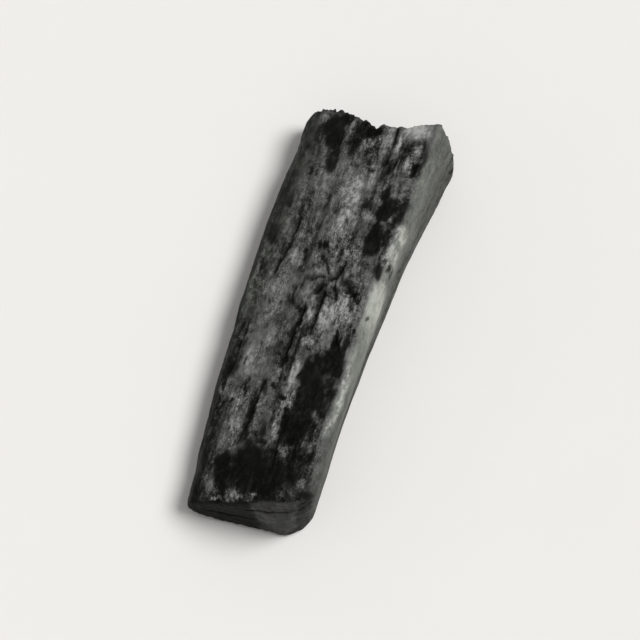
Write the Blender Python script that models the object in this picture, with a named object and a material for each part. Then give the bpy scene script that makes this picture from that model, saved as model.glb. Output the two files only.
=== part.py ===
"""Charcoal lump: one split stick of hardwood charcoal lying on its flat underside.

Long axis along Y, the sawn end at -Y, the snapped end at +Y, the flat underside at z = 0.
The stick is a loft: one rounded wedge section, carried from the sawn end to the snapped end,
closed by two end surfaces.  All lengths are in metres.
"""
import math

import bpy
import numpy as np
from mathutils import Vector, noise

# ---------------------------------------------------------------- driving dimensions
NAME = "charcoal_lump"

LENGTH = 0.1500          # sawn end to the middle of the snapped end
STATIONS = 31            # sections along the stick, without the rounded ends
SAWN_ROUND = 0.0022      # rounding of the edge around the sawn end
SNAP_ROUND = 0.0010      # rounding of the edge around the snapped end
CAP_RINGS = 5            # rings that close each end
ARC_STEPS = 3            # segments in each rounded corner

# The wedge section at five places along the stick.  Each row holds, corner by corner and
# counter-clockwise seen from the sawn end, x and z of the corner before it is rounded.
SECTION_AT = (0.0, 0.25, 0.5, 0.75, 1.0)
CORNERS = {
    "base_right": ((0.0156, 0.0), (0.0160, 0.0), (0.0176, 0.0), (0.0208, 0.0), (0.0252, 0.0)),
    "side_low": ((0.0170, 0.0050), (0.0174, 0.0060), (0.0194, 0.0060), (0.0229, 0.0075),
                 (0.0286, 0.0090)),
    "side_high": ((0.0168, 0.0270), (0.0171, 0.0275), (0.0180, 0.0272), (0.0200, 0.0270),
                  (0.0236, 0.0262)),
    "ridge": ((0.0142, 0.0325), (0.0144, 0.0335), (0.0150, 0.0340), (0.0166, 0.0345),
              (0.0190, 0.0340)),
    "edge_high": ((-0.0256, 0.0102), (-0.0282, 0.0108), (-0.0296, 0.0118), (-0.0291, 0.0130),
                  (-0.0278, 0.0144)),
    "edge_low": ((-0.0262, 0.0034), (-0.0294, 0.0040), (-0.0310, 0.0046), (-0.0304, 0.0054),
                 (-0.0288, 0.0060)),
    "base_left": ((-0.0225, 0.0), (-0.0250, 0.0), (-0.0262, 0.0), (-0.0252, 0.0),
                  (-0.0232, 0.0)),
}
CORNER_RADIUS = {
    "base_right": 0.0022, "side_low": 0.0090, "side_high": 0.0060, "ridge": 0.0045,
    "edge_high": 0.0050, "edge_low": 0.0040, "base_left": 0.0024,
}
EDGE_STEPS = {           # segments along the straight run that follows each corner
    "base_right": 1, "side_low": 6, "side_high": 1, "ridge": 18,
    "edge_high": 1, "edge_low": 1, "base_left": 12,
}
FACE_BULGE = 0.0013      # how far the broad face stands out at its middle

# The snapped end: how far each strip of fibres reaches beyond LENGTH, across x.
SNAP_X = (-0.0310, -0.0285, -0.0255, -0.0225, -0.0170, -0.0115, -0.0085, -0.0060, -0.0035,
          -0.0005, 0.0035, 0.0080, 0.0125, 0.0175, 0.0215, 0.0245, 0.0290)
SNAP_REACH = (-0.0050, -0.0006, 0.0020, 0.0032, 0.0028, 0.0024, 0.0016, -0.0012, -0.0030,
              -0.0006, -0.0012, -0.0006, 0.0010, 0.0016, 0.0004, -0.0014, -0.0040)
SNAP_UNDERCUT = 0.0036   # how far the lower part of the snapped end stands back
SNAP_TOOTH = 0.0016      # height of the broken fibre bundles
SAWN_LEAN = 0.0052       # how far the top of the sawn end leans back
SAWN_CORNER = 0.0065     # how far the right-hand corner of the sawn end is rounded away

# Long shallow splits in the broad face: x and y of both ends, half width, depth.
SPLITS = (
    (-0.0050, 0.004, 0.0005, 0.034, 0.0016, 0.0010),
    (-0.0100, -0.036, -0.0065, -0.006, 0.0018, 0.0012),
    (0.0040, -0.030, 0.0060, -0.012, 0.0024, 0.0011),
    (-0.0130, 0.018, -0.0110, 0.048, 0.0014, 0.0007),
)
# Chips broken off the edges: x, y, z of the middle, radius, depth.
CHIPS = (
    (0.0170, 0.0520, 0.0330, 0.0060, 0.0012),
    (0.0150, 0.0180, 0.0330, 0.0050, 0.0008),
    (0.0140, -0.0610, 0.0310, 0.0060, 0.0009),
    (-0.0290, 0.0600, 0.0110, 0.0070, 0.0012),
    (-0.0270, -0.0620, 0.0080, 0.0060, 0.0009),
    (-0.0300, -0.0100, 0.0080, 0.0080, 0.0007),
    (0.0270, 0.0660, 0.0120, 0.0070, 0.0012),
    (0.0080, -0.0740, 0.0290, 0.0050, 0.0008),
)
WAVE = 0.00055           # height of the slow waves in the sides

CHAR_COLOUR = (0.060, 0.061, 0.057, 1.0)
CHAR_ROUGHNESS = 0.78


# ---------------------------------------------------------------- helpers
def smooth_table(place, places, values):
    """Cubic curve through the values given at the places."""
    places = np.asarray(places, float)
    values = np.asarray(values, float)
    slopes = np.gradient(values, places, axis=0)
    i = int(np.clip(np.searchsorted(places, place, side="right") - 1, 0, len(places) - 2))
    span = places[i + 1] - places[i]
    t = (place - places[i]) / span
    h00 = 2 * t**3 - 3 * t**2 + 1
    h10 = t**3 - 2 * t**2 + t
    h01 = -2 * t**3 + 3 * t**2
    h11 = t**3 - t**2
    return (h00 * values[i] + h10 * span * slopes[i]
            + h01 * values[i + 1] + h11 * span * slopes[i + 1])


def soft_step(low, high, value):
    """0 below low, 1 above high, smooth between."""
    t = np.clip((value - low) / (high - low), 0.0, 1.0)
    return t * t * (3.0 - 2.0 * t)


def corner_arc(before, corner, after, radius):
    """Points of the arc that rounds one corner."""
    to_before = (before - corner) / np.linalg.norm(before - corner)
    to_after = (after - corner) / np.linalg.norm(after - corner)
    half = 0.5 * math.acos(float(np.clip(to_before @ to_after, -1.0, 1.0)))
    middle = (to_before + to_after) / np.linalg.norm(to_before + to_after)
    centre = corner + middle * radius / math.sin(half)
    first = corner + to_before * radius / math.tan(half) - centre
    last = corner + to_after * radius / math.tan(half) - centre
    start = math.atan2(first[1], first[0])
    turn = math.atan2(last[1], last[0]) - start
    turn = (turn + math.pi) % (2.0 * math.pi) - math.pi
    angles = start + turn * np.linspace(0.0, 1.0, ARC_STEPS + 1)
    return centre + radius * np.stack([np.cos(angles), np.sin(angles)], axis=1)


def section(place):
    """Outline (x, z) of the wedge at a place from 0 (sawn end) to 1 (snapped end)."""
    names = list(CORNERS)
    corners = [smooth_table(place, SECTION_AT, CORNERS[name]) for name in names]
    arcs = []
    for i, name in enumerate(names):
        after = corners[(i + 1) % len(names)]
        arcs.append(corner_arc(corners[i - 1], corners[i], after, CORNER_RADIUS[name]))
    points = []
    for i, name in enumerate(names):
        points.extend(arcs[i])
        start = arcs[i][-1]
        end = arcs[(i + 1) % len(names)][0]
        steps = EDGE_STEPS[name]
        run = (end - start) / np.linalg.norm(end - start)
        out = np.array([run[1], -run[0]])
        for k in range(1, steps):
            t = k / steps
            lift = FACE_BULGE * 4.0 * t * (1.0 - t) if name == "ridge" else 0.0
            points.append(start + (end - start) * t + out * lift)
    outline = np.array(points)
    outline[:, 1] = np.where(outline[:, 1] < 1e-6, 0.0, outline[:, 1])
    return outline


def outward(outline):
    """Outward direction in the section plane at each outline point."""
    along = np.roll(outline, -1, axis=0) - np.roll(outline, 1, axis=0)
    out = np.stack([along[:, 1], -along[:, 0]], axis=1)
    return out / np.linalg.norm(out, axis=1)[:, None]


def sawn_face(x, z):
    """y of the sawn end over x and z."""
    lean = SAWN_LEAN * (z / 0.032) ** 1.3 * soft_step(-0.030, -0.006, x)
    corner = SAWN_CORNER * soft_step(0.0085, 0.0185, x)
    wave = 0.0004 * np.sin(190.0 * x + 0.8) + 0.0003 * np.sin(260.0 * z + 60.0 * x)
    return -0.5 * LENGTH + 0.02 * x + lean + corner + wave


def snapped_face(x, z):
    """y of the snapped end over x and z."""
    reach = np.interp(x, SNAP_X, SNAP_REACH)
    back = SNAP_UNDERCUT * soft_step(0.018, 0.002, z) * soft_step(-0.032, -0.008, x)
    shelf = 0.0022 * soft_step(0.0150, 0.0165, z - 0.25 * x) * soft_step(0.018, 0.010, x)
    slab = 0.0016 * soft_step(0.0060, 0.0072, x + 0.3 * z)
    tooth = [noise.noise(Vector((a * 330.0, 4.0, b * 210.0))) for a, b in zip(x, z)]
    return 0.5 * LENGTH + reach - back - shelf * 0.6 + slab * 0.5 + SNAP_TOOTH * np.array(tooth)


def weathered(points, outs):
    """Waves, splits and chips worked into the side points; the flat underside is kept."""
    result = points.copy()
    for i, (point, out) in enumerate(zip(points, outs)):
        x, y, z = point
        side = float(soft_step(0.0003, 0.0040, z))
        if side == 0.0:
            continue
        slow = noise.noise(Vector((x * 70.0, y * 28.0 + 3.0, z * 70.0)))
        fibre = noise.noise(Vector((x * 240.0 + 9.0, y * 22.0, z * 240.0)))
        push = WAVE * (slow + 0.55 * fibre)
        for x0, y0, x1, y1, half_width, depth in SPLITS:
            along = np.clip((y - y0) / (y1 - y0), 0.0, 1.0)
            aside = abs(x - (x0 + (x1 - x0) * along)) + 0.35 * max(y0 - y, y - y1, 0.0)
            upper = float(soft_step(0.3, 0.7, out[2]))
            push -= depth * upper * math.exp(-(aside / half_width) ** 2)
        for cx, cy, cz, radius, depth in CHIPS:
            away = math.dist((x, y, z), (cx, cy, cz))
            push -= depth * math.exp(-(away / (0.6 * radius)) ** 2)
        result[i] = point + out * push * side
        result[i, 2] = max(result[i, 2], 0.0)
    return result


# ---------------------------------------------------------------- the lump
def build_rings():
    """All rings of the loft, from the middle of the sawn end to the middle of the snapped end."""
    places = np.linspace(0.0, 1.0, STATIONS)
    quarter = np.linspace(0.0, 0.5 * math.pi, 4)[:-1]
    rows = []
    for angle in quarter:
        depth = SAWN_ROUND * (1.0 - math.cos(angle))
        rows.append((0.0, depth, SAWN_ROUND * (1.0 - math.sin(angle))))
    for place in places:
        near = SAWN_ROUND * (1.0 - place)
        far = -SNAP_ROUND * place
        rows.append((place, near + far, 0.0))
    for angle in quarter[::-1]:
        depth = -SNAP_ROUND * (1.0 - math.cos(angle))
        rows.append((1.0, depth, SNAP_ROUND * (1.0 - math.sin(angle))))

    sides = []
    for place, shift, inset in rows:
        outline = section(place)
        out = outward(outline)
        outline = outline - out * inset
        x = outline[:, 0]
        z = outline[:, 1]
        y = (1.0 - place) * sawn_face(x, z) + place * snapped_face(x, z) + shift
        points = np.stack([x, y, z], axis=1)
        outs = np.stack([out[:, 0], np.zeros(len(out)), out[:, 1]], axis=1)
        sides.append(weathered(points, outs))

    rings = list(sides)
    for end, face in ((0, sawn_face), (-1, snapped_face)):
        rim = sides[end]
        middle = np.array([-0.001, 0.0, 0.014])
        inner = []
        for k in range(1, CAP_RINGS + 1):
            shrink = 1.0 - k / (CAP_RINGS + 1.0)
            ring = middle + (rim - middle) * shrink
            rest = rim[:, 1] - face(rim[:, 0], rim[:, 2])
            ring[:, 1] = face(ring[:, 0], ring[:, 2]) + rest * shrink
            inner.append(ring)
        rings = inner[::-1] + rings if end == 0 else rings + inner
    return rings


def build_mesh(rings):
    """Skin the rings with quads and close both ends with a fan."""
    count = len(rings[0])
    first = rings[0].mean(axis=0)
    last = rings[-1].mean(axis=0)
    points = np.concatenate(rings + [first[None, :], last[None, :]], axis=0)
    low = points.min(axis=0)
    high = points.max(axis=0)
    points[:, 0] -= 0.5 * (low[0] + high[0])
    points[:, 1] -= 0.5 * (low[1] + high[1])

    faces = []
    for r in range(len(rings) - 1):
        a = r * count
        b = a + count
        for i in range(count):
            j = (i + 1) % count
            faces.append((a + i, b + i, b + j, a + j))
    first_index = len(rings) * count
    last_ring = (len(rings) - 1) * count
    for i in range(count):
        j = (i + 1) % count
        faces.append((first_index, i, j))
        faces.append((first_index + 1, last_ring + j, last_ring + i))

    mesh = bpy.data.meshes.new(NAME)
    mesh.from_pydata([tuple(p) for p in points], [], faces)
    mesh.update()
    return mesh


def char_material():
    """Matt black-grey char."""
    material = bpy.data.materials.new("char")
    material.use_nodes = True
    shader = material.node_tree.nodes["Principled BSDF"]
    shader.inputs["Base Color"].default_value = CHAR_COLOUR
    shader.inputs["Roughness"].default_value = CHAR_ROUGHNESS
    shader.inputs["Metallic"].default_value = 0.0
    return material


def main():
    for old in list(bpy.data.objects):
        bpy.data.objects.remove(old, do_unlink=True)
    collection = bpy.data.collections.new(NAME)
    bpy.context.scene.collection.children.link(collection)

    mesh = build_mesh(build_rings())
    mesh.materials.append(char_material())
    mesh.polygons.foreach_set("use_smooth", [True] * len(mesh.polygons))
    lump = bpy.data.objects.new(NAME, mesh)
    collection.objects.link(lump)


main()
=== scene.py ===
"""Looks of the charcoal lump: a split stick of hardwood charcoal, grey ash over black char.

The grain runs along Y.  The pith of the log lay to the left of the stick, so growth rings are
arcs round it: they show as streaks on the broad face and as arcs on both ends, and the right side
is the old outer surface of the log.  Lengths are in millimetres unless a name says otherwise.
"""
import math

import bpy
import numpy as np
from mathutils import Matrix, Vector


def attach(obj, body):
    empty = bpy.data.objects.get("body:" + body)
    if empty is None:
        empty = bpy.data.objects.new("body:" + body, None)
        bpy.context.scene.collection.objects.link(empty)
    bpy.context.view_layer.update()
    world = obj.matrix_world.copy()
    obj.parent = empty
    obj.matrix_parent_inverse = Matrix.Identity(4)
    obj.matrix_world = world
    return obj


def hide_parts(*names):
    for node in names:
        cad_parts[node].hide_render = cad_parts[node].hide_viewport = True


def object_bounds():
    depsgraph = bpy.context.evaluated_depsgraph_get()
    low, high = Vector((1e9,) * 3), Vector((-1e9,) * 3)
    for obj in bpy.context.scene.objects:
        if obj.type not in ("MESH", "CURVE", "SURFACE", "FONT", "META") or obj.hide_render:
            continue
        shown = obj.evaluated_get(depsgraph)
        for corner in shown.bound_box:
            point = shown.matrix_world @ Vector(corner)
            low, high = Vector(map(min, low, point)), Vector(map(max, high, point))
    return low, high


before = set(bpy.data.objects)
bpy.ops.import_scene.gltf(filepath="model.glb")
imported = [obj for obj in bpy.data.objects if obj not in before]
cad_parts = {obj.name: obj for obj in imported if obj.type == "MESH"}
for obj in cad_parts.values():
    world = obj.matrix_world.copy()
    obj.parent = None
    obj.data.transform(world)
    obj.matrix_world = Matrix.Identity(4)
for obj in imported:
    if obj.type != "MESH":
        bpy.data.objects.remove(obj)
cad_low, cad_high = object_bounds()

# ---------------------------------------------------------------- shape and grain
NODE = "charcoal_lump"
MM = 1000.0                       # millimetres in a metre
FULL_TURN = 2.0 * math.pi
VOXEL = 0.40                      # size of the fine mesh's quads across the grain
GRAIN_STRETCH = 2.0               # how much longer those quads are along the grain
PITH = (-50.0, 3.0)               # x and z of the log's pith
RING_STEP = 2.6                   # mean width of a growth ring
KNOT = (14.5, 60.0, 6.0)          # x, y and radius of the swirl in the grain near the snapped end
KNOT_ROUNDNESS = 0.6              # the knot's width over its length along the grain
KNOT_BEND = 3.6                   # how far the fibres bend aside for the knot
GRAIN_WANDER = 2.2                # how far the fibres wander sideways
GRAIN_LIFT = 1.8                  # and how far up and down
# How far a normal has to turn a face's way before a point starts to count and fully counts.
FACING = {"sawn": (0.60, 0.78), "snapped": (0.35, 0.75), "side": (0.35, 0.75),
          "under": (0.40, 0.80), "edge": (0.55, 0.85)}
SAWN_CHIPS = 0.16                 # how ragged the sawn end's outline is, as a turn
SNAPPED_START = 40.0              # the snapped end's faces lie beyond this y
FACET_SLOPE = 0.25                # how far the sawn end's smooth facet, painted pale as its reflection, leans left as it rises
FACET_LEFT = (2.0, 4.0)           # x at the foot over which the facet begins
FACET_RIGHT = (15.5, 12.0)        # x over which it ends
FACET_RAGGED = 0.8                # how ragged both its borders are
CORNER = (11.0, 17.0)             # x over which the sawn end's right corner begins
RIDGE_BAND = (22.0, 28.0)         # z over which the right side joins the upper faces
RIDGE_SOFTNESS = 1.8              # half width of the border of the smooth right side
RIDGE_RAGGED = 1.5                # how far that border wanders
# Checks of the two ends: distance from the pith where each starts and stops, angle, half width.
CHECKS = ((34.0, 50.0, 8.0, 0.25), (50.0, 70.0, 17.0, 0.30))
# Broken fibre bundles of the snapped end: cell size, seed, rise, edge drop and edge width.
BUNDLES = ((3.4, 5, 1.4, 0.40, 0.15), (1.25, 6, 0.45, 0.25, 0.20))

NOISE_HEIGHT = 1.6                # brings one layer of noise to about -1 to 1
LAYER_OFFSET = 17.3               # keeps the layers' lattices apart
# Noises: size of the features along x, y and z, seed, layers, and gain from layer to layer.
NOISES = {
    "grain_wander": ((40.0, 70.0, 40.0), 11, 2, 0.5),
    "grain_lift": ((30.0, 60.0, 30.0), 21, 2, 0.5),
    "chips": ((2.6, 2.6, 2.6), 61, 3, 0.5),
    "crack_wobble": ((2.4, 3.0, 2.4), 71, 3, 0.5),
    "crack_fray": ((1.4, 2.2, 1.4), 77, 2, 0.5),
    "check_wobble": ((6.0, 20.0, 6.0), 81, 3, 0.5),
    "ridge_wander": ((3.0, 7.0, 3.0), 91, 3, 0.5),
    "black_shift": ((5.0, 9.0, 5.0), 101, 2, 0.5),
    "flake_coarse": ((2.4, 4.0, 2.4), 111, 3, 0.6),
    "flake_fine": ((0.9, 1.3, 0.9), 116, 2, 0.7),
    "pale_shift": ((5.0, 9.0, 5.0), 201, 2, 0.5),
    "worn_shift": ((5.0, 9.0, 5.0), 301, 2, 0.5),
    "gritty_shift": ((5.0, 9.0, 5.0), 311, 2, 0.5),
    "long_fibre": ((1.5, 22.0, 1.5), 401, 3, 0.6),
    "short_fibre": ((0.9, 6.0, 0.9), 421, 2, 0.6),
    "lumps": ((9.0, 22.0, 9.0), 441, 3, 0.5),
    "grit": ((1.2, 1.6, 1.2), 461, 2, 0.5),
    "blotch": ((2.2, 4.0, 2.2), 471, 3, 0.6),
    "pits": ((1.7, 3.4, 1.7), 481, 2, 0.5),
    "calm": ((6.0, 11.0, 6.0), 491, 2, 0.5),
    "drift": ((7.0, 20.0, 7.0), 501, 3, 0.5),
    "streak": ((1.3, 10.0, 1.3), 521, 3, 0.6),
    "clumps": ((1.2, 1.7, 1.2), 531, 2, 0.7),
    "loose": ((3.6, 9.0, 3.6), 541, 3, 0.5),
    "rays": ((0.9, 7.0, 1.0), 551, 2, 0.5),
    "broken": ((3.0, 7.0, 3.0), 561, 3, 0.5),
}
# The values of a noise over which its share of the surface rises from none to all.
SPREAD = {
    "crack_fray": (-0.9, 0.5),
    "pits": (0.35, 0.75),
    "calm": (-0.30, 0.65),
    "clumps": (-0.45, 0.55),
    "loose": (0.30, 0.80),
    "broken": (-0.40, 0.20),
}

# ---------------------------------------------------------------- relief and ash
# Heights in millimetres, each times the part of the surface that it names.
LUMP_HEIGHT = 0.34
TEXTURE = {"long_fibre": 0.10, "short_fibre": 0.05, "grit": 0.07, "ring": 0.03, "blotch": 0.10}
PIT_DEPTH = 0.20
FLAKE_DEPTH = 0.30
PALE_HEIGHT = 0.10
SAWN_RELIEF = {"ring": 0.05, "grit": 0.06, "lumps": 0.10, "checks": -0.90}
SNAPPED_RELIEF = {"bundles": 1.00, "grit": 0.25, "checks": -1.10}
SKIN_DROP = 0.10                  # how far the whole surface sinks, so that it stays in its box

# Ash cover of each face, from 0 for bare char to 1 for pale ash: level, and what each noise adds.
ASH = {
    "body": {"level": 0.50, "drift": 0.13, "streak": 0.04, "blotch": 0.10, "ring": 0.02},
    "strip": {"drift": 0.04, "blotch": 0.03, "streak": 0.02},
    "edge": {"level": 0.28, "drift": 0.07, "streak": 0.05},
    "under": {"level": 0.32, "drift": 0.12, "streak": 0.10},
    # the sawn end's facet is painted paler as the reflection of its smooth face
    "sawn": {"level": 0.05, "drift": 0.05, "ring": 0.02, "rays": 0.06, "facet": 0.30,
             "corner": 0.20},
    "snapped": {"level": 0.22, "drift": 0.08},
}
SWIRL_RINGS = 0.12                # how much more the rings show at the knot
SWIRL_REACH = 1.6                 # and how far round it, in knot radii
CHAR_TONE = {"level": 0.09, "long_fibre": 0.04, "blotch": 0.09}
PALE_LEVEL = 0.95
SIDE_BARE = 0.43                  # level of the thin ash low on the right side
SIDE_THIN = (27.0, 12.0)          # z over which it thins
# Falls of a level towards an end: how deep, and the y where each starts and is complete.
FRONT_DROP = (0.33, -48.0, -64.0)       # ash of the broad face, sawn end
REAR_DROP = (0.06, 56.0, 68.0)          # ash of the broad face, snapped end
SIDE_FRONT_DROP = (0.10, -64.0, -74.0)  # ash of the right side, sawn end
CHAR_DROP = (0.05, -48.0, -58.0)        # tone of the black patches, sawn end
LEFT_MARGIN = (-19.0, -25.0)      # x over which the left margin of the broad face begins, where shade is painted
CRACK_SHADE_HALO = (0.18, 0.25)         # how much darker the colour is painted round a crack, as shade of its groove; a lower power spreads it
# Loose flakes on the faces that the table of black patches leaves alone.
LOOSE = {"side": 0.55, "edge": 0.75, "under": 0.60}
LOOSE_STRENGTH = 0.90
LOOSE_BAND = (25.0, 18.0)         # z over which they begin on the right side
# How smooth each part of the surface is worn; gritty places are rougher than the rest.
SMOOTHNESS = {"edge": 0.60, "facet": 0.20, "sawn": 0.80, "worn": 1.00, "calm": 0.70,
              "gritty": -1.10}
SMOOTHER_SIDE = (16.0, 11.0)      # the right side is a little smoother in front of this y
ROUGHEST = -0.8

# Flaked black patches of the broad face: x, y, half width, half length, strength.
BLACK = (
    (-16.4, 69.6, 3.6, 4.4, 1.1), (-14.6, 64.6, 2.8, 5.2, 1.15), (-13.0, 72.6, 3.4, 2.2, 0.9),
    (-12.8, 56.0, 2.2, 5.0, 0.9), (-7.0, 63.6, 2.6, 6.0, 0.72), (-3.4, 68.6, 5.6, 3.8, 0.90),
    (-1.0, 62.0, 3.4, 3.6, 0.50), (-4.2, 54.5, 2.2, 1.3, 0.45), (0.0, 55.4, 1.2, 1.8, 0.7),
    (1.8, 53.2, 1.3, 0.7, 0.6), (6.2, 56.0, 1.9, 5.0, 0.55), (16.8, 56.4, 1.8, 3.0, 0.55),
    (5.0, 40.0, 2.8, 2.4, 0.65), (9.6, 44.0, 1.6, 4.4, 0.9), (10.4, 38.4, 2.8, 4.8, 1.15),
    (15.0, 39.0, 3.4, 4.6, 0.85), (17.4, 42.6, 2.0, 2.4, 0.7), (10.0, 27.4, 2.5, 6.2, 1.3),
    (14.0, 28.5, 2.0, 5.8, 0.64), (14.2, 33.4, 1.9, 2.0, 0.7), (-25.5, 25.0, 1.6, 4.0, 0.6),
    (-5.2, 21.8, 0.9, 1.5, 0.8), (-7.2, 21.8, 0.8, 1.6, 0.8), (-9.2, 22.0, 1.6, 0.9, 0.45),
    (-10.6, 17.6, 1.1, 3.0, 0.75), (-12.0, 12.6, 1.6, 1.7, 0.6), (-7.0, 14.4, 1.5, 1.3, 0.45),
    (7.2, 12.6, 1.4, 0.9, 0.45), (15.0, 16.0, 1.8, 3.4, 0.80), (18.6, 18.2, 1.1, 2.6, 0.7),
    (16.9, -1.9, 0.9, 1.2, 0.6), (17.4, -8.0, 0.6, 1.4, 0.4), (-6.8, -2.2, 1.2, 1.3, 0.8),
    (-9.0, -1.0, 1.1, 1.0, 0.6), (-3.2, -8.6, 0.9, 1.5, 0.8), (-2.6, -11.4, 0.7, 0.8, 0.6),
    (-3.6, -16.0, 1.2, 0.9, 0.7), (0.1, -16.5, 0.9, 0.8, 0.7), (-3.8, -21.0, 1.0, 1.0, 0.7),
    (-5.6, -21.6, 0.9, 0.9, 0.6), (8.6, -13.2, 1.6, 3.8, 1.1), (11.9, -12.6, 1.0, 3.6, 0.95),
    (9.6, -18.0, 3.4, 3.6, 1.25), (6.6, -21.4, 4.0, 4.2, 1.2), (11.4, -22.0, 2.3, 3.6, 0.95),
    (3.4, -25.5, 3.6, 5.0, 1.15), (5.2, -33.0, 4.3, 9.4, 1.3), (10.8, -31.5, 3.7, 10.6, 0.78),
    (4.6, -44.0, 5.8, 7.4, 1.05), (-0.2, -42.5, 1.6, 5.4, 0.75), (10.2, -46.0, 3.0, 4.4, 0.55),
    (-5.2, -28.2, 1.5, 1.0, 0.90), (-7.4, -30.8, 1.5, 1.1, 0.80), (-3.6, -34.4, 1.4, 0.9, 0.90),
    (-16.6, -32.0, 0.8, 3.4, 0.6), (-19.4, -23.4, 0.8, 2.2, 0.5), (-20.6, -12.8, 0.9, 1.3, 0.5),
    (-25.4, -27.0, 1.6, 6.5, 0.75), (-20.6, -38.0, 0.8, 1.0, 0.7), (-12.2, -42.0, 1.7, 9.0, 0.75),
    (-10.4, -33.6, 1.3, 4.0, 0.6), (-6.2, -48.0, 1.2, 3.4, 0.6), (-5.8, -51.0, 2.2, 1.0, 0.8),
    (9.0, -54.0, 4.8, 5.0, 0.72), (-9.8, -53.0, 1.6, 2.6, 0.7), (-1.6, -56.0, 4.4, 3.6, 0.62),
    (-7.6, -60.0, 4.2, 7.0, 1.3), (-4.0, -65.0, 7.6, 4.6, 1.3), (-16.6, -60.2, 2.8, 3.0, 1.0),
    (-13.4, -66.0, 3.2, 4.0, 0.9), (5.4, -61.5, 5.2, 4.8, 0.72), (15.0, -68.0, 4.0, 2.4, 0.7),
    (-23.5, -66.0, 2.6, 5.0, 0.7), (-17.6, -48.6, 0.9, 0.8, 0.5),
)
# Pale ash on the broad face and along the ridge, in the same terms.
PALE = (
    (-1.6, 42.0, 2.6, 9.0, 0.95), (-3.0, 31.0, 1.6, 7.0, 0.75), (2.4, 50.0, 1.5, 5.0, 0.65),
    (4.0, 67.5, 1.3, 6.0, 1.00), (8.0, 66.0, 0.7, 5.6, 0.90), (-9.4, 68.0, 0.9, 3.4, 0.55),
    (-2.0, 63.5, 1.8, 3.6, 0.40), (13.2, 71.0, 4.0, 3.2, 1.20), (15.4, 62.0, 1.5, 2.4, 0.85),
    (13.4, 57.8, 1.6, 3.6, 0.75), (18.6, 31.5, 2.0, 3.6, 1.10), (17.4, 23.0, 2.3, 3.8, 1.05),
    (17.6, 6.4, 2.8, 6.4, 1.05), (-15.4, 15.0, 2.2, 8.0, 0.50), (-16.8, 6.0, 2.2, 5.0, 0.55),
    (-16.0, -3.0, 2.0, 3.0, 0.60), (1.8, -4.0, 1.8, 5.6, 0.90), (6.8, 1.4, 2.4, 3.2, 0.75),
    (9.6, -3.6, 3.2, 4.0, 0.50), (-3.7, -4.6, 1.6, 4.2, 1.10), (-1.4, -13.6, 2.8, 1.4, 0.80),
    (-1.9, -25.2, 1.6, 4.4, 0.90), (-1.6, -37.0, 1.4, 2.6, 0.80), (-2.4, -46.6, 1.5, 2.8, 0.85),
    (-19.0, -23.0, 1.5, 5.0, 0.72), (-14.0, -14.0, 1.4, 3.6, 0.68), (-17.4, -37.6, 2.6, 3.0, 0.60),
    (-16.4, -48.0, 2.4, 8.0, 0.60), (-24.0, -33.0, 1.8, 4.0, 0.50), (-8.0, -71.8, 2.4, 1.2, 0.85),
    (-14.8, -73.4, 1.8, 0.8, 0.75), (-18.0, -68.6, 1.6, 2.2, 0.45), (12.2, -63.4, 1.4, 1.4, 0.50),
    (3.6, -66.2, 1.4, 1.7, 0.40), (15.8, -28.0, 1.0, 12.0, 0.85), (14.8, -42.4, 1.3, 3.4, 0.80),
    (-9.6, -9.0, 1.5, 5.0, 0.40), (15.6, 27.0, 1.2, 2.2, 0.70), (-20.0, 71.6, 1.8, 1.6, 0.60),
    (-5.6, 14.0, 2.2, 2.2, 0.35), (-6.4, 4.6, 1.8, 3.4, 0.55), (3.4, -54.0, 1.6, 2.4, 0.45),
    (10.4, -24.0, 1.6, 3.6, 0.40), (12.8, -31.6, 0.7, 1.4, 0.70), (6.0, -26.4, 0.8, 0.5, 0.55),
    (-20.0, -64.0, 1.6, 6.0, 0.40), (-3.6, -69.6, 2.4, 0.6, 0.60), (-14.0, -53.6, 1.2, 2.4, 0.50),
)
# Places where the ash is worn smooth: x, y, half width, half length, strength.
WORN = (
    (-12.6, -25.0, 3.0, 4.6, 0.9), (-16.0, -11.6, 3.0, 4.0, 0.8), (-6.8, -43.0, 2.4, 4.0, 0.7),
    (13.2, 71.2, 5.0, 2.8, 1.0), (17.6, 6.4, 3.0, 7.0, 0.9), (-24.5, 48.0, 3.4, 30.0, 0.9),
    (18.6, 31.5, 2.0, 3.6, 0.9), (4.6, -12.0, 1.4, 3.6, 0.6),
)
# Places with coarse, gritty ash, in the same terms.
GRITTY = (
    (8.0, 0.5, 5.0, 6.0, 1.0), (-2.0, 64.0, 5.0, 5.0, 0.8), (-2.2, -36.0, 2.4, 12.0, 0.9),
    (-18.0, -40.0, 4.6, 6.0, 0.8), (-12.0, -72.0, 9.0, 3.0, 1.0), (2.0, 22.0, 6.0, 5.0, 0.6),
    (14.6, 60.0, 3.0, 4.6, 0.8), (-9.0, -14.0, 2.0, 6.0, 0.5), (8.0, -50.0, 5.0, 6.0, 0.5),
)
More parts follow.
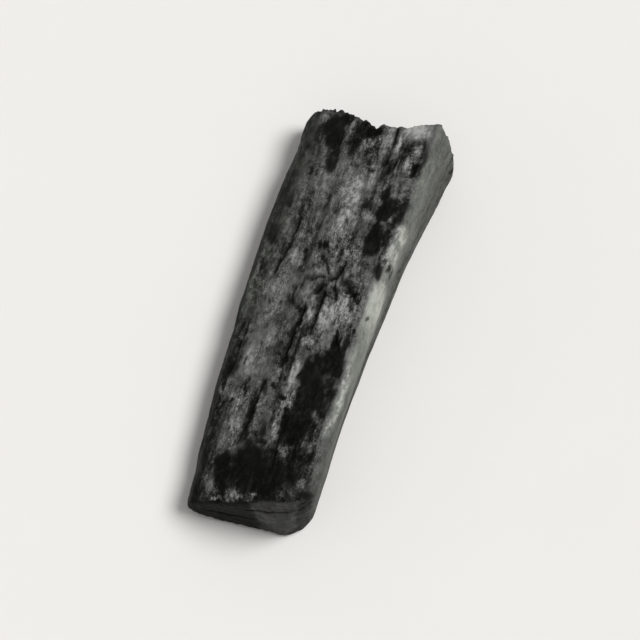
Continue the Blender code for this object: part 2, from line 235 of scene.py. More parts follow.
# Cracks of the broad face: half width, depth, and the x and y of the points they run through.
CRACKS = (
    (0.85, 1.3, ((-0.9, 5.2), (-1.2, -1.0), (-1.0, -6.0), (-1.1, -9.4))),
    (0.80, 1.3, ((-6.0, -0.6), (-6.1, -5.5), (-6.8, -12.0), (-6.8, -18.0), (-7.3, -24.0))),
    (0.75, 0.9, ((-17.4, 32.0), (-18.0, 23.0), (-19.0, 17.0), (-20.4, 10.0))),
    (0.50, 0.8, ((-9.8, 9.6), (-6.4, 9.4), (-4.6, 10.6), (-2.0, 11.0))),
    (0.55, 0.6, ((-9.0, 9.6), (-9.5, 6.4))),
    (0.60, 0.9, ((-1.2, 11.8), (-2.2, 14.4), (-4.2, 16.4), (-5.6, 18.4))),
    (1.00, 1.1, ((-0.6, 9.8), (1.0, 11.2), (2.6, 13.0), (3.0, 16.4))),
    (1.30, 1.1, ((-1.2, 8.4), (-2.6, 6.4), (-4.0, 4.6))),
    (1.00, 1.0, ((1.8, 7.8), (2.8, 5.2), (3.8, 2.6))),
    (1.40, 1.1, ((4.2, 10.2), (6.2, 8.8), (7.8, 6.2))),
    (0.55, 0.8, ((8.4, 6.0), (10.0, 4.8), (11.8, 2.8))),
    (0.85, 0.6, ((-11.4, 5.6), (-11.6, 1.6), (-9.8, -0.8), (-7.6, -2.6), (-6.2, -2.0))),
    (0.66, 0.8, ((-11.2, -30.0), (-12.1, -37.0), (-12.0, -45.0), (-13.4, -53.0))),
    (0.70, 0.7, ((5.6, 74.0), (6.6, 66.0), (5.4, 56.0))),
    (1.30, 0.5, ((5.8, 49.0), (8.2, 55.0), (9.8, 60.0), (11.2, 63.8), (13.4, 66.4), (15.8, 66.8),
                 (17.8, 64.6), (18.6, 61.0), (18.2, 57.0), (16.4, 53.6))),
    (0.35, 0.5, ((-23.0, -8.0), (-23.6, -24.0), (-24.5, -38.0))),
    (0.60, 0.7, ((1.0, -40.0), (-0.4, -50.0), (0.6, -62.0))),
    (0.40, 0.6, ((7.9, -8.4), (8.8, -12.6), (10.0, -15.0))),
)
# Cracks of the right side and of the left edge, by z and y.
SIDE_CRACKS = (
    (0.50, 0.9, ((17.0, -68.0), (16.4, -52.0), (15.0, -34.0))),
    (0.55, 1.0, ((9.0, -40.0), (9.4, -22.0), (10.8, -4.0))),
    (0.40, 0.7, ((20.5, -12.0), (20.2, 2.0), (19.0, 16.0))),
    (0.60, 1.1, ((12.0, 6.0), (13.6, 26.0), (14.5, 46.0))),
    (0.32, 0.35, ((21.5, 34.0), (22.6, 48.0), (23.0, 62.0))),
    (0.55, 1.0, ((7.0, 40.0), (7.4, 54.0), (8.5, 70.0))),
    (0.50, 0.8, ((15.0, 58.0), (15.8, 66.0), (17.5, 77.0))),
    (0.45, 0.8, ((5.0, -74.0), (5.8, -64.0), (6.0, -50.0))),
    (0.35, 0.7, ((10.6, -21.0), (13.0, -20.0), (16.2, -18.6))),
    (0.35, 0.7, ((13.4, 25.0), (16.4, 24.6), (19.4, 22.6))),
    (0.32, 0.6, ((8.0, 54.0), (10.4, 54.4), (13.0, 56.0))),
    (0.32, 0.6, ((16.0, -48.0), (13.6, -48.2), (10.6, -50.0))),
)
EDGE_CRACKS = (
    (0.45, 0.8, ((6.0, -58.0), (5.2, -40.0), (5.0, -20.0))),
    (0.45, 0.9, ((8.5, -4.0), (8.2, 12.0), (7.0, 30.0))),
    (0.45, 0.8, ((5.5, 36.0), (6.8, 50.0), (7.5, 66.0))),
    (0.30, 0.6, ((9.4, 8.0), (6.6, 8.2), (4.2, 9.4))),
)
# Where the smooth right side begins on the ridge: y and x.
RIDGE_Y = (-75.0, -20.0, 12.0, 30.0, 75.0)
RIDGE_X = (14.2, 14.6, 15.2, 18.0, 19.6)
# Ash on the right side along the stick: y and level.
SIDE_Y = (-75.0, -60.0, -35.0, -10.0, 6.0, 14.0, 40.0, 75.0)
SIDE_ASH = (0.30, 0.49, 0.55, 0.67, 0.96, 0.64, 0.60, 0.54)
# How much darker the left margin of the broad face is painted along the stick, as shade on the side
# away from the light: y and drop.
MARGIN_Y = (-75.0, -40.0, -20.0, 4.0, 24.0, 50.0, 75.0)
MARGIN_SHADE = (0.20, 0.30, 0.15, -0.02, 0.15, 0.20, 0.12)

# ---------------------------------------------------------------- studio
FLOOR_RADII = (0.6, 1.4, 2.0)     # metres; the floor is flat out to the last of them
BEND_RADIUS = 0.7                 # metres; the floor's bend up into the wall
BEND_STEPS = 8
WALL_TOP = 0.9                    # metres
SPOKES = 96
SUN_STRENGTH = 2.72
SUN_WIDTH = 30.0                  # degrees
SUN_PLACE = (0.85, 0.50, 1.35)    # the sun shines at the origin from this side
SKY_COLOUR = (1.0, 0.995, 0.985, 1.0)
SKY_STRENGTH = 0.36
CAMERA_TURN = 18.0                # degrees to the right of the grain, seen from the sawn end
CAMERA_RISE = 70.0                # degrees above the floor
CAMERA_DISTANCE = 0.79            # metres
CAMERA_ASIDE = (-0.0389, -0.0010, 0.0)  # metres that the camera stands to the left
CAMERA_TARGET = (0.0, 0.0, 0.012)  # metres; the middle of the lump
LENS = 125.0                      # focal length, for a sensor of the width below
SENSOR = 36.0


# ---------------------------------------------------------------- noise
def noise_table(seed):
    """Shuffled lattice and unit gradients of one gradient noise."""
    rng = np.random.default_rng(seed)
    gradients = rng.normal(size=(256, 3))
    gradients /= np.linalg.norm(gradients, axis=1)[:, None]
    return rng.permutation(256), gradients


def gradient_noise(points, seed):
    """Smooth noise of about -1 to 1 at the points."""
    shuffle, gradients = noise_table(seed)
    cell = np.floor(points).astype(np.int64)
    part = points - cell
    fade = part * part * part * (part * (part * 6.0 - 15.0) + 10.0)
    total = np.zeros(len(points))
    for corner in np.ndindex(2, 2, 2):
        corner = np.array(corner)
        at = (cell + corner) & 255
        index = shuffle[(shuffle[(shuffle[at[:, 0]] + at[:, 1]) & 255] + at[:, 2]) & 255]
        weight = np.prod(np.where(corner == 1, fade, 1.0 - fade), axis=1)
        total += weight * np.einsum("ij,ij->i", gradients[index], part - corner)
    return total * NOISE_HEIGHT


def noise(points, name):
    """The noise of that name at the points: a sum of layers, each half the size of the last."""
    size, seed, layers, gain = NOISES[name]
    points = points / np.asarray(size)
    total = np.zeros(len(points))
    height = 1.0
    for layer in range(layers):
        place = points * 2.0**layer + LAYER_OFFSET * layer
        total += height * gradient_noise(place, seed + layer)
        height *= gain
    return total


def noise_share(points, name):
    """Share of the surface, from 0 to 1, that the noise of that name gives each point."""
    return soft_step(*SPREAD[name], noise(points, name))


def bundle_cells(across, size, seed):
    """Cells of a jittered grid: each point's cell value from 0 to 1 and nearness to its edge."""
    rng = np.random.default_rng(seed)
    table = rng.random((64, 64, 3))
    place = across / size
    cell = np.floor(place).astype(np.int64)
    nearest = np.full(len(place), np.inf)
    second = np.full(len(place), np.inf)
    value = np.zeros(len(place))
    for step in np.ndindex(3, 3):
        at = cell + np.array(step) - 1
        entry = table[at[:, 0] & 63, at[:, 1] & 63]
        away = np.linalg.norm(at + entry[:, :2] - place, axis=1)
        closer = away < nearest
        second = np.where(closer, nearest, np.minimum(second, away))
        value = np.where(closer, entry[:, 2], value)
        nearest = np.where(closer, away, nearest)
    return value, second - nearest


def soft_step(low, high, value):
    """0 at low, 1 at high, smooth between; low may be the larger of the two."""
    t = np.clip((value - low) / (high - low), 0.0, 1.0)
    return t * t * (3.0 - 2.0 * t)


def drop(fall, y):
    """How much lower a level is at y, for a fall given as depth, start and end."""
    depth, start, end = fall
    return depth * soft_step(start, end, y)


# ---------------------------------------------------------------- fine mesh
def fine_copy(source):
    """A copy of the node remeshed into fine quads that are longer along the grain."""
    mesh = source.data.copy()
    mesh.materials.clear()
    squeeze = Matrix.Diagonal((1.0, 1.0 / GRAIN_STRETCH, 1.0, 1.0))
    mesh.transform(squeeze)
    rough = bpy.data.objects.new("rough_lump", mesh)
    bpy.context.scene.collection.objects.link(rough)
    remesh = rough.modifiers.new("fine", "REMESH")
    remesh.mode = "VOXEL"
    remesh.voxel_size = VOXEL / MM
    remesh.adaptivity = 0.0
    evaluated = rough.evaluated_get(bpy.context.evaluated_depsgraph_get())
    fine = bpy.data.meshes.new_from_object(evaluated)
    bpy.data.objects.remove(rough, do_unlink=True)
    fine.transform(squeeze.inverted())
    fine.name = "lump_surface"
    return fine


def read_points(mesh):
    """Vertex positions in millimetres and their normals."""
    count = len(mesh.vertices)
    points = np.empty(count * 3)
    normals = np.empty(count * 3)
    mesh.vertices.foreach_get("co", points)
    mesh.vertex_normals.foreach_get("vector", normals)
    return points.reshape(-1, 3) * MM, normals.reshape(-1, 3)


# ---------------------------------------------------------------- faces and grain
def face_shares(points, normals):
    """How much each point belongs to each face of the lump."""
    nx, ny, nz = normals.T
    sawn = soft_step(*FACING["sawn"], SAWN_CHIPS * noise(points, "chips") - ny)
    snapped = soft_step(*FACING["snapped"], ny) * (points[:, 1] > SNAPPED_START)
    ends = np.clip(sawn + snapped, 0.0, 1.0)
    side = soft_step(*FACING["side"], nx) * (1.0 - ends)
    under = soft_step(*FACING["under"], -nz) * (1.0 - ends)
    edge = soft_step(*FACING["edge"], -nx) * (1.0 - ends)
    top = np.clip(1.0 - ends - side - under - edge, 0.0, 1.0)
    return {"top": top, "side": side, "under": under, "edge": edge, "sawn": sawn,
            "snapped": snapped}


def knot_distance(x, y):
    """Distance from the middle of the knot, in knot radii."""
    knot_x, knot_y, radius = KNOT
    return np.hypot(x - knot_x, KNOT_ROUNDNESS * (y - knot_y)) / radius


def grain_place(points):
    """The points in the grain's own frame, where fibres run straight along y.

    The fibres wander slowly, and they bend round the knot.
    """
    x, y, z = points.T
    aside = x - KNOT[0]
    bend = KNOT_BEND * np.exp(-knot_distance(x, y) ** 2) * np.sign(aside)
    bend *= soft_step(0.0, 2.0, abs(aside))
    wander = GRAIN_WANDER * noise(points, "grain_wander")
    lift = GRAIN_LIFT * noise(points, "grain_lift")
    return np.stack([x + wander - bend, y, z + lift], axis=1)


def round_pith(points):
    """Each point's distance from the pith and its angle round it in degrees."""
    across = points[:, 0] - PITH[0]
    rise = points[:, 2] - PITH[1]
    return np.hypot(across, rise), np.degrees(np.arctan2(rise, across))


def ring_wave(grain):
    """Growth rings: -1 in the soft early wood, 1 in the hard late wood."""
    away, _ = round_pith(grain)
    uneven = 0.9 * np.sin(away / 5.1) + 0.5 * np.sin(away / 2.3 + 1.0)
    return np.sin((away + uneven) * FULL_TURN / RING_STEP)


def ray_streaks(points):
    """Fine wood rays of the ends: -1 to 1 streaks that point away from the pith."""
    away, angle = round_pith(points)
    return noise(np.stack([angle, away, 0.1 * points[:, 1]], axis=1), "rays")


def end_checks(points):
    """How open the radial checks of the ends are, from 0 to 1."""
    away, angle = round_pith(points)
    wobble = 0.9 * noise(points, "check_wobble")
    gap = np.zeros(len(points))
    for start, stop, turn, half_width in CHECKS:
        aside = np.radians(angle + wobble - turn) * away
        inside = soft_step(start - 4.0, start + 2.0, away)
        inside *= soft_step(stop + 3.0, stop - 6.0, away)
        gap = np.maximum(gap, inside * np.exp(-(aside / half_width) ** 2))
    return gap


def fibre_bundles(grain):
    """Height of the snapped end: broken bundles of fibres, coarse and fine."""
    height = np.zeros(len(grain))
    for size, seed, rise, edge_drop, edge_width in BUNDLES:
        value, inward = bundle_cells(grain[:, [0, 2]], size, seed)
        height += rise * (value - 0.5) - edge_drop * soft_step(edge_width, 0.0, inward)
    return height


# ---------------------------------------------------------------- patches and cracks
def patches(points, table, shift_name, shift_size, power=2.0):
    """Strength of the patches of a table, fading out round each; a noise shifts their outlines.

    A higher power gives the patches firmer edges.
    """
    shift = shift_size * noise(points, shift_name)
    strength = np.zeros(len(points))
    for x, y, half_width, half_length, level in table:
        reach = np.hypot((points[:, 0] - x + shift) / half_width,
                         (points[:, 1] - y - 1.5 * shift) / half_length)
        strength = np.maximum(strength, level * 0.5 ** (reach**power))
    return strength


def flaked(strength, points):
    """Turns patches into ragged ones with islands and dusty specks round their edges."""
    ragged = 0.24 * noise(points, "flake_coarse") + 0.14 * noise(points, "flake_fine")
    return soft_step(0.16, 0.92, strength + ragged * soft_step(-0.1, 0.3, strength))


def crack_gap(place, path, half_width):
    """How open one crack is at each place: 1 on its path, 0 well beside it, thin at its tips."""
    lengths = np.linalg.norm(np.diff(path, axis=0), axis=1)
    gap = np.zeros(len(place))
    gone = 0.0
    for start, end, length in zip(path[:-1], path[1:], lengths):
        t = np.clip((place - start) @ (end - start) / length**2, 0.0, 1.0)
        away = np.linalg.norm(place - start - t[:, None] * (end - start), axis=1)
        along = np.clip((gone + t * length) / lengths.sum(), 0.0, 1.0)
        width = half_width * (0.40 + 0.9 * np.sqrt(along * (1.0 - along)))
        gap = np.maximum(gap, np.exp(-(away / width) ** 2))
        gone += length
    return gap


def cracks(points, table, across):
    """Depth of the cracks of a face and a 0 to 1 mark of where they are.

    across is the axis (0 for x, 2 for z) that the table's first coordinate runs along.
    """
    place = points[:, [across, 1]].copy()
    place[:, 0] += 0.50 * noise(points, "crack_wobble")
    fray = 0.6 + 0.7 * noise_share(points, "crack_fray")
    depth = np.zeros(len(points))
    mark = np.zeros(len(points))
    for half_width, deep, path in table:
        gap = crack_gap(place, np.array(path), half_width * fray)
        depth = np.maximum(depth, deep * gap)
        mark = np.maximum(mark, gap * min(1.0, 0.1 + deep))
    return depth, mark


# ---------------------------------------------------------------- surface
class Skin:
    """The lump's points, with all that its relief, its ash and its smoothness are made from."""

    level = 1.0                   # the same all over, for the constant part of a recipe

    def __init__(self, points, normals):
        self.points = points
        self.x, self.y, self.z = points.T
        for face, share in face_shares(points, normals).items():
            setattr(self, face, share)
        self.grain = grain_place(points)
        for name in ("long_fibre", "short_fibre", "streak"):
            setattr(self, name, noise(self.grain, name))
        for name in ("lumps", "grit", "blotch", "drift"):
            setattr(self, name, noise(points, name))
        self.pits = noise_share(self.grain, "pits")
        self.ring = ring_wave(self.grain)
        self.rays = ray_streaks(points)
        self.checks = end_checks(points)
        self.bundles = fibre_bundles(self.grain)
        self.corner = soft_step(*CORNER, self.x)
        self.margin = soft_step(*LEFT_MARGIN, self.x)
        self.strip = smooth_strip(self)
        self.facet = sawn_facet(self)
        self.black = black_flakes(self)
        self.pale = patches(points, PALE, "pale_shift", 0.8, power=2.6) * upper_faces(self)
        self.worn = patches(points, WORN, "worn_shift", 1.0) * self.top
        self.gritty = patches(points, GRITTY, "gritty_shift", 1.0) * self.top
        self.calm = noise_share(points, "calm") * self.top
        self.crack_depth, self.crack_mark = all_cracks(self)
        self.polish = smoothness(self)

    def blend(self, recipe):
        """Sum of the parts of the surface that a recipe names, each times its weight."""
        return sum(weight * getattr(self, name) for name, weight in recipe.items())


def upper_faces(skin):
    """Share of the broad face and of the ridge beside it."""
    return skin.top + skin.side * soft_step(*RIDGE_BAND, skin.z)


def smooth_strip(skin):
    """Share of the log's old outer surface: the right side up to the ridge."""
    ragged = RIDGE_RAGGED * noise(skin.points, "ridge_wander")
    past_ridge = skin.x - np.interp(skin.y, RIDGE_Y, RIDGE_X) + ragged
    share = soft_step(-RIDGE_SOFTNESS, RIDGE_SOFTNESS, past_ridge)
    return share * (skin.top + skin.side)


def sawn_facet(skin):
    """Share of the smooth facet on the sawn end, painted paler as its reflection, with ragged
    borders.
    """
    ragged = FACET_RAGGED * skin.blotch
    facet = skin.sawn * soft_step(*FACET_LEFT, skin.x + FACET_SLOPE * skin.z + ragged)
    return facet * soft_step(*FACET_RIGHT, skin.x + ragged)


def black_flakes(skin):
    """Share of bare black char: placed patches where the lump is seen, loose flakes elsewhere."""
    placed = patches(skin.points, BLACK, "black_shift", 0.9, power=3.5) * upper_faces(skin)
    hidden = LOOSE["side"] * skin.side * soft_step(*LOOSE_BAND, skin.z)
    hidden += LOOSE["edge"] * skin.edge + LOOSE["under"] * skin.under
    loose = noise_share(skin.points, "loose") * hidden
    return flaked(np.maximum(placed, LOOSE_STRENGTH * loose), skin.points)


def all_cracks(skin):
    """Depth and mark of the cracks of all faces; those of the sides are broken up."""
    broken = 0.15 + 0.85 * noise_share(skin.points, "broken")
    depth = np.zeros(len(skin.points))
    mark = np.zeros(len(skin.points))
    for table, across, share in ((CRACKS, 0, skin.top), (SIDE_CRACKS, 2, skin.side * broken),
                                 (EDGE_CRACKS, 2, skin.edge * broken)):
        face_depth, face_mark = cracks(skin.points, table, across)
        depth += face_depth * share
        mark += face_mark * share
    return depth, mark


def smoothness(skin):
    """1 where the surface is worn smooth, 0 where it is rough, below 0 where it is gritty."""
    smooth_side = skin.strip * (0.80 + 0.10 * soft_step(*SMOOTHER_SIDE, skin.y))
    return np.clip(smooth_side + skin.blend(SMOOTHNESS), ROUGHEST, 1.0)


def relief(skin):
    """Height of the real surface over the smooth lump, in millimetres."""
    rough = 1.0 - 0.8 * skin.polish
    height = LUMP_HEIGHT * skin.lumps + rough * skin.blend(TEXTURE)
    height -= PIT_DEPTH * rough * skin.pits * (1.0 - 0.5 * skin.under)
    height -= FLAKE_DEPTH * skin.black * (0.8 + 0.4 * skin.long_fibre)
    height += PALE_HEIGHT * skin.pale
    height -= skin.crack_depth
    height += skin.sawn * skin.blend(SAWN_RELIEF) + skin.snapped * skin.blend(SNAPPED_RELIEF)
    height = np.where(skin.under > 0.5, np.minimum(height, 0.0), height)
    return height - SKIN_DROP


def side_cover(skin):
    """Ash cover of the right side: thickest along the ridge, thin low down and at the front."""
    level = np.interp(skin.y, SIDE_Y, SIDE_ASH)
    level = level + (SIDE_BARE - level) * soft_step(*SIDE_THIN, skin.z + 3.0 * skin.drift)
    return level + skin.blend(ASH["strip"]) - drop(SIDE_FRONT_DROP, skin.y)


def body_ash_and_shade(skin):
    """Ash cover of the broad face and of the right side beside it, with painted shade at its left
    margin and round the cracks.
    """
    swirl = np.exp(-(knot_distance(skin.x, skin.y) / SWIRL_REACH) ** 2)
    cover = skin.blend(ASH["body"]) + SWIRL_RINGS * swirl * skin.ring
    # painted shade: the left margin, away from the light, is darkened
    cover -= np.interp(skin.y, MARGIN_Y, MARGIN_SHADE) * skin.margin
    cover -= drop(FRONT_DROP, skin.y) + drop(REAR_DROP, skin.y)
    # painted shade round each crack
    halo, power = CRACK_SHADE_HALO
    cover -= halo * skin.crack_mark**power
    return cover + (side_cover(skin) - cover) * skin.strip


def ash_with_painted_light(skin):
    """Ash cover of the whole surface, from 0 for bare char to 1 for pale ash, with painted shade
    and the sawn facet's painted reflection in it.
    """
    cover = (skin.top + skin.side) * body_ash_and_shade(skin)
    for face in ("edge", "under", "sawn", "snapped"):
        cover += getattr(skin, face) * skin.blend(ASH[face])
    clumps = 0.60 + 0.80 * noise_share(skin.points, "clumps")
    pale = np.clip(skin.pale * clumps - 0.04, 0.0, 1.0)
    cover = cover + (PALE_LEVEL - cover) * pale
    char = skin.blend(CHAR_TONE) - drop(CHAR_DROP, skin.y)
    return cover + (char - cover) * skin.black


def material_values(skin):
    """What the material reads at each point."""
    # Cracks and end checks are painted near black: bare char in them, and painted shade of the
    # recess.
    crack_char_and_shade = skin.crack_mark + 0.6 * skin.checks * (skin.sawn + skin.snapped)
    green = 0.7 * skin.strip + 0.9 * skin.edge + skin.margin
    # the cover holds ash, painted shade and a painted reflection
    return {"cover": ash_with_painted_light(skin), "flake": skin.black, "polish": skin.polish,
            "crack_char_and_shade": np.clip(crack_char_and_shade, 0.0, 1.0), "green": np.clip(green, 0.0, 1.0),
            "grain": skin.grain}


def write_attributes(mesh, values):
    """Stores the values on the mesh's points for the material."""
    for name, data in values.items():
        kind = "FLOAT" if data.ndim == 1 else "FLOAT_VECTOR"
        field = "value" if data.ndim == 1 else "vector"
        layer = mesh.attributes.new(name, kind, "POINT")
        layer.data.foreach_set(field, np.ascontiguousarray(data, np.float32).ravel())


# ---------------------------------------------------------------- bake map
AXIS_Z = 12.0                     # height of the line that the sides are unrolled round
UNROLL_STEPS = 90
UNROLL_HALF = 25.0                # the girth is measured within this y of the middle
END_FACING = 0.72                 # a polygon of an end faces along y at least this much
END_START = 55.0                  # and lies at least this far from the middle
MAP_GAP = 2.0                     # gap between the parts of the map


def unroll(points):
    """How far round the stick each point is, and the stick's girth."""
    turn = np.arctan2(points[:, 2] - AXIS_Z, points[:, 0])
    turn = np.mod(turn + 0.25 * FULL_TURN, FULL_TURN)
    radius = np.hypot(points[:, 0], points[:, 2] - AXIS_Z)
    middle = abs(points[:, 1]) < UNROLL_HALF
    bins = np.linspace(0.0, FULL_TURN, UNROLL_STEPS + 1)
    mids = 0.5 * (bins[1:] + bins[:-1])
    owner = np.digitize(turn[middle], bins) - 1
    mean = np.array([radius[middle][owner == k].mean() for k in range(UNROLL_STEPS)])
    outline = np.stack([mean * np.cos(mids), mean * np.sin(mids)], axis=1)
    steps = np.linalg.norm(np.roll(outline, -1, axis=0) - outline, axis=1)
    grown = np.concatenate([[0.0], np.cumsum(steps)])
    around = np.interp(turn, np.concatenate([mids, [mids[0] + FULL_TURN]]), grown)
    return around, steps.sum()


def whole_numbers(items, field):
    """One whole number of each item of a mesh's list."""
    numbers = np.empty(len(items), np.int64)
    items.foreach_get(field, numbers)
    return numbers


def close_seam(around, girth, starts, face_of):
    """Carries polygons that cross the seam over it, so that none spans the whole map."""
    low = np.minimum.reduceat(around, starts)
    high = np.maximum.reduceat(around, starts)
    crosses = (high - low) > 0.5 * girth
    return np.where(crosses[face_of] & (around < 0.5 * girth), around + girth, around)


def unwrap(mesh, points, normals):
    """Bake map: the sides unrolled along the grain, and both ends flat beside them."""
    around, girth = unroll(points)
    corners = whole_numbers(mesh.loops, "vertex_index")
    sizes = whole_numbers(mesh.polygons, "loop_total")
    face_of = np.repeat(np.arange(len(sizes)), sizes)
    starts = np.cumsum(sizes) - sizes
    facing = np.add.reduceat(normals[corners, 1], starts) / sizes
    where = np.add.reduceat(points[corners, 1], starts) / sizes
    is_end = ((abs(facing) > END_FACING) & (abs(where) > END_START))[face_of]

    low = points.min(axis=0)
    wide, length, high = points.max(axis=0) - low
    snapped_aside = np.where(where[face_of] > 0.0, wide + MAP_GAP, 0.0)
    end_u = points[corners, 0] - low[0] + snapped_aside
    end_v = points[corners, 2] + girth + 3.0 * MAP_GAP
    u = np.where(is_end, end_u, points[corners, 1] - low[1])
    v = np.where(is_end, end_v, close_seam(around[corners], girth, starts, face_of))
    side = max(length, girth + 3.0 * MAP_GAP + low[2] + high) + 2.0 * MAP_GAP
    flat = (np.stack([u, v], axis=1) + MAP_GAP) / side
    layer = mesh.uv_layers.new(name="OFBake")
    layer.data.foreach_set("uv", flat.astype(np.float32).ravel())


# ---------------------------------------------------------------- materials
class Nodes:
    """Short calls for building one material's nodes."""

    def __init__(self, name):
        self.material = bpy.data.materials.new(name)
        self.material.use_nodes = True
        self.tree = self.material.node_tree
        self.shader = self.tree.nodes["Principled BSDF"]

    def link(self, source, target):
        self.tree.links.new(source, target)

    def attribute(self, name, vector=False):
        node = self.tree.nodes.new("ShaderNodeAttribute")
        node.attribute_name = name
        return node.outputs["Vector" if vector else "Fac"]

    def value(self, socket, number):
        if isinstance(number, (int, float)):
            socket.default_value = number
        else:
            self.link(number, socket)

    def math(self, operation, first, second, third=0.0, clamp=False):
        node = self.tree.nodes.new("ShaderNodeMath")
        node.operation = operation
        node.use_clamp = clamp
        self.value(node.inputs[0], first)
        self.value(node.inputs[1], second)
        self.value(node.inputs[2], third)
        return node.outputs[0]

    def stretch(self, vector, scale):
        node = self.tree.nodes.new("ShaderNodeVectorMath")
        node.operation = "MULTIPLY"
        self.link(vector, node.inputs[0])
        node.inputs[1].default_value = scale
        return node.outputs[0]

    def noise(self, vector, size, detail, roughness):
        """Noise about 0 whose features have the given sizes along x, y, z."""
        node = self.tree.nodes.new("ShaderNodeTexNoise")
        self.link(self.stretch(vector, tuple(1.0 / width for width in size)), node.inputs["Vector"])
        node.inputs["Scale"].default_value = 1.0
        node.inputs["Detail"].default_value = detail
        node.inputs["Roughness"].default_value = roughness
        return self.math("SUBTRACT", node.outputs["Fac"], 0.5)

    def total(self, *terms):
        """Sum of sockets, each times its weight."""
        result = 0.0
        for socket, weight in terms:
            result = self.math("MULTIPLY_ADD", socket, weight, result)
        return result

    def blend(self, sockets, weights):
        """Sum of the named sockets, each times its weight."""
        return self.total(*((sockets[name], weight) for name, weight in weights.items()))

    def calmed(self, socket, amount, source):
        """The socket, made weaker by an amount of the source."""
        less = self.math("SUBTRACT", 1.0, self.math("MULTIPLY", amount, source))
        return self.math("MULTIPLY", socket, less)

    def ramp(self, source, stops):
        node = self.tree.nodes.new("ShaderNodeValToRGB")
        self.link(source, node.inputs["Fac"])
        marks = node.color_ramp.elements
        while len(marks) < len(stops):
            marks.new(0.5)
        for mark, (place, colour) in zip(marks, stops):
            mark.position = place
            mark.color = (*colour, 1.0)
        return node.outputs["Color"]

    def mix(self, share, first, second, kind="MIX"):
        node = self.tree.nodes.new("ShaderNodeMix")
        node.data_type = "RGBA"
        node.blend_type = kind
        self.value(node.inputs["Factor"], share)
        for socket, item in ((node.inputs[6], first), (node.inputs[7], second)):
            if isinstance(item, tuple):
                socket.default_value = (*item, 1.0)
            else:
                self.link(item, socket)
        return node.outputs[2]

    def bump(self, height, strength, distance):
        node = self.tree.nodes.new("ShaderNodeBump")
        self.link(height, node.inputs["Height"])
        node.inputs["Strength"].default_value = strength
        node.inputs["Distance"].default_value = distance
        self.link(node.outputs["Normal"], self.shader.inputs["Normal"])


# Colour of the surface from bare char (0) to pale ash (1).
ASH_COLOURS = (
    (0.00, (0.0014, 0.0014, 0.0012)),
    (0.12, (0.0050, 0.0052, 0.0044)),
    (0.25, (0.0150, 0.0153, 0.0138)),
    (0.38, (0.0410, 0.0415, 0.0390)),
    (0.55, (0.1000, 0.1010, 0.0980)),
    (0.75, (0.1950, 0.1970, 0.1890)),
    (1.00, (0.4000, 0.4020, 0.3880)),
)
# Noises finer than the mesh: size of the features along x, y and z, detail and roughness.
FINE_NOISES = {
    "fibre": ((0.8, 4.0, 0.8), 4.0, 0.62),
    "hair": ((0.30, 2.0, 0.30), 3.0, 0.6),
    "speck": ((0.45, 0.60, 0.45), 3.0, 0.7),
    "blotch": ((1.5, 2.4, 1.5), 3.0, 0.6),
    "cloud": ((5.0, 8.0, 5.0), 4.0, 0.6),
}
# What each adds to the ash cover where the surface is rough, and everywhere.
ROUGH_ASH = {"fibre": 0.35, "hair": 0.25, "speck": 0.75, "blotch": 1.00}
CLOUD_ASH = 0.80
SPECK_ASH = 0.22
# And what they add to the bump and to the shader's roughness.
BUMP = {"fibre": 0.6, "hair": 0.35, "speck": 0.8, "blotch": 0.8}
POLISH_MATT = -0.26
SPECK_MATT = 0.25
FLAKE_MATT = 0.06
GREEN_TINT = (0.94, 0.99, 0.88)   # the sides are faintly olive
CRACK_CHAR_AND_SHADE_COLOUR = (0.0020, 0.0020, 0.0018)  # inside cracks and end checks: bare char, and painted shade of the recess
CHAR_ROUGHNESS = 0.84
# How much weaker the fine texture and the clouds are where smooth, and all of it on black.
SMOOTHING = 0.84
CLOUD_SMOOTHING = 0.60
FLAKE_SMOOTHING = 0.45
BUMP_STRENGTH = 0.9
BUMP_HEIGHT = 0.45


def char_material():
    """Black char under grey ash, fibrous along the grain and worn smooth in places."""
    nodes = Nodes("char_and_ash")
    grain = nodes.attribute("grain", vector=True)
    flake = nodes.attribute("flake")
    polish = nodes.attribute("polish")
    noises = {name: nodes.noise(grain, *style) for name, style in FINE_NOISES.items()}

    rough = nodes.calmed(nodes.blend(noises, ROUGH_ASH), SMOOTHING, polish)
    cloudy = nodes.calmed(noises["cloud"], CLOUD_SMOOTHING, polish)
    fine = nodes.total((rough, 1.0), (cloudy, CLOUD_ASH), (noises["speck"], SPECK_ASH))
    fine = nodes.calmed(fine, FLAKE_SMOOTHING, flake)
    # the cover read here holds ash, painted shade and a painted reflection
    level = nodes.math("ADD", nodes.attribute("cover"), fine, clamp=True)

    colour = nodes.ramp(level, ASH_COLOURS)
    green = nodes.math("MULTIPLY", nodes.attribute("green"), 0.8)
    colour = nodes.mix(green, colour, nodes.mix(1.0, colour, GREEN_TINT, "MULTIPLY"))
    # painted shade and bare char inside cracks and checks
    crack_char_and_shade = nodes.math("MULTIPLY", nodes.attribute("crack_char_and_shade"), 0.9)
    colour = nodes.mix(crack_char_and_shade, colour, CRACK_CHAR_AND_SHADE_COLOUR)
    nodes.link(colour, nodes.shader.inputs["Base Color"])

    matt = nodes.total((polish, POLISH_MATT), (noises["speck"], SPECK_MATT), (flake, FLAKE_MATT))
    roughness = nodes.math("ADD", matt, CHAR_ROUGHNESS, clamp=True)
    nodes.link(roughness, nodes.shader.inputs["Roughness"])
    nodes.shader.inputs["Specular IOR Level"].default_value = 0.10

    height = nodes.calmed(nodes.blend(noises, BUMP), SMOOTHING, polish)
    nodes.bump(height, BUMP_STRENGTH, BUMP_HEIGHT / MM)
    return nodes.material


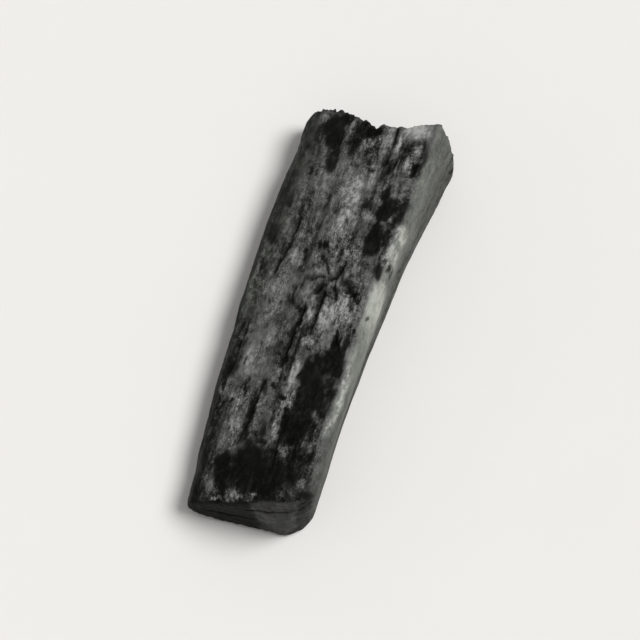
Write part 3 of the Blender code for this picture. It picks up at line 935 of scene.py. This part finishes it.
def floor_material():
    """Warm white studio paper."""
    nodes = Nodes("studio_paper")
    place = nodes.tree.nodes.new("ShaderNodeTexCoord").outputs["Object"]
    mottle = nodes.noise(place, (0.06, 0.06, 0.06), 3.0, 0.55)
    colour = nodes.ramp(nodes.math("ADD", mottle, 0.5), (
        (0.3, (0.800, 0.788, 0.766)),
        (0.7, (0.808, 0.796, 0.774)),
    ))
    nodes.link(colour, nodes.shader.inputs["Base Color"])
    nodes.shader.inputs["Roughness"].default_value = 1.0
    nodes.shader.inputs["Specular IOR Level"].default_value = 0.0
    return nodes.material


# ---------------------------------------------------------------- pieces
def make_lump():
    """The visual lump in place of the CAD node."""
    mesh = fine_copy(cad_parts[NODE])
    points, normals = read_points(mesh)
    skin = Skin(points, normals)
    moved = points + normals * relief(skin)[:, None]
    moved = np.clip(moved, np.array(cad_low) * MM, np.array(cad_high) * MM)
    mesh.vertices.foreach_set("co", (moved / MM).ravel())
    write_attributes(mesh, material_values(skin))
    unwrap(mesh, points, normals)
    mesh.update()
    mesh.shade_smooth()
    mesh.materials.append(char_material())
    lump = bpy.data.objects.new("char_surface", mesh)
    bpy.context.scene.collection.objects.link(lump)
    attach(lump, "root")
    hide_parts(NODE)


def floor_profile():
    """Radius and height of the floor, outward from its middle and up its wall."""
    flat = FLOOR_RADII[-1]
    profile = [(radius, 0.0) for radius in FLOOR_RADII]
    for k in range(1, BEND_STEPS + 1):
        angle = 0.25 * FULL_TURN * k / BEND_STEPS
        profile.append((flat + BEND_RADIUS * math.sin(angle),
                        BEND_RADIUS * (1.0 - math.cos(angle))))
    profile.append((flat + BEND_RADIUS, WALL_TOP))
    return profile


def make_studio():
    """A pale floor that rises softly into a wall all round."""
    profile = floor_profile()
    rows = len(profile)
    points = [(0.0, 0.0, 0.0)]
    faces = []
    for k in range(SPOKES):
        angle = FULL_TURN * k / SPOKES
        for reach, height in profile:
            points.append((reach * math.cos(angle), reach * math.sin(angle), height))
    for k in range(SPOKES):
        here = 1 + k * rows
        there = 1 + ((k + 1) % SPOKES) * rows
        faces.append((0, here, there))
        for r in range(rows - 1):
            faces.append((here + r, here + r + 1, there + r + 1, there + r))
    mesh = bpy.data.meshes.new("studio_floor")
    mesh.from_pydata(points, [], faces)
    mesh.shade_smooth()
    mesh.materials.append(floor_material())
    floor = bpy.data.objects.new("studio_floor", mesh)
    bpy.context.scene.collection.objects.link(floor)


def make_lights():
    """Soft light from the upper right, under an even pale sky."""
    sun = bpy.data.lights.new("key_sun", "SUN")
    sun.energy = SUN_STRENGTH
    sun.angle = math.radians(SUN_WIDTH)
    key = bpy.data.objects.new("key_sun", sun)
    key.location = SUN_PLACE
    key.rotation_euler = (-key.location).to_track_quat("-Z", "Y").to_euler()
    bpy.context.scene.collection.objects.link(key)
    world = bpy.data.worlds.new("studio_sky")
    world.use_nodes = True
    sky = world.node_tree.nodes["Background"]
    sky.inputs["Color"].default_value = SKY_COLOUR
    sky.inputs["Strength"].default_value = SKY_STRENGTH
    bpy.context.scene.world = world


def make_camera():
    """Long lens looking down on the lump from its sawn end, a little to the right."""
    turn = math.radians(CAMERA_TURN)
    rise = math.radians(CAMERA_RISE)
    back = Vector((math.sin(turn) * math.cos(rise), -math.cos(turn) * math.cos(rise),
                   math.sin(rise)))
    data = bpy.data.cameras.new("camera")
    data.lens = LENS
    data.sensor_width = SENSOR
    data.clip_start = 0.01
    data.clip_end = 20.0
    camera = bpy.data.objects.new("camera", data)
    camera.location = Vector(CAMERA_ASIDE) + back * CAMERA_DISTANCE
    upright = (-back).to_track_quat("-Z", "Y")
    to_lump = (Vector(CAMERA_TARGET) - camera.location).normalized()
    camera.rotation_mode = "QUATERNION"
    camera.rotation_quaternion = (-back).rotation_difference(to_lump) @ upright
    bpy.context.scene.collection.objects.link(camera)
    bpy.context.scene.camera = camera


make_lump()
make_studio()
make_lights()
make_camera()
bpy.context.scene.view_settings.view_transform = "Standard"
